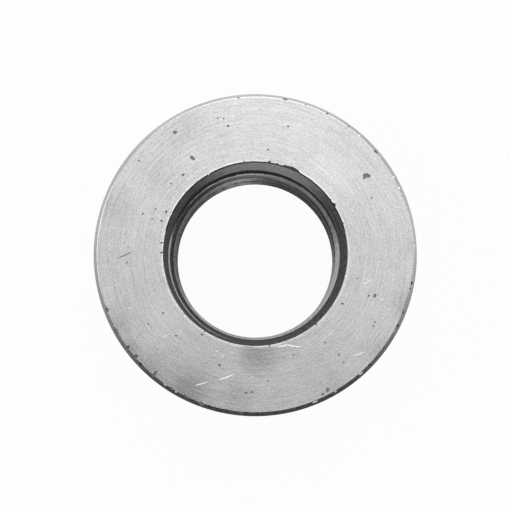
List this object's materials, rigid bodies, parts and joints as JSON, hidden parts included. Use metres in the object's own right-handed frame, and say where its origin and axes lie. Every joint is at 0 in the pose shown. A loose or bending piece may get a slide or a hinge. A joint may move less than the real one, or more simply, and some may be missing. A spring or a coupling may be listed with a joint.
{
  "type": "pinion nut",
  "caption": "Thick round turned steel nut with chamfered rims, a tapered lead-in and a coarse thread through its bore.",
  "frame": {"origin": "centre of the back face, on the nut's axis", "axes": "+Z along the nut's axis, out of the bearing face"},
  "size_m": [0.08, 0.08, 0.0276],
  "materials": {
    "steel": "turned"
  },
  "bodies": {
    "root": {"pinion_nut": "steel"}
  },
  "joints": []
}
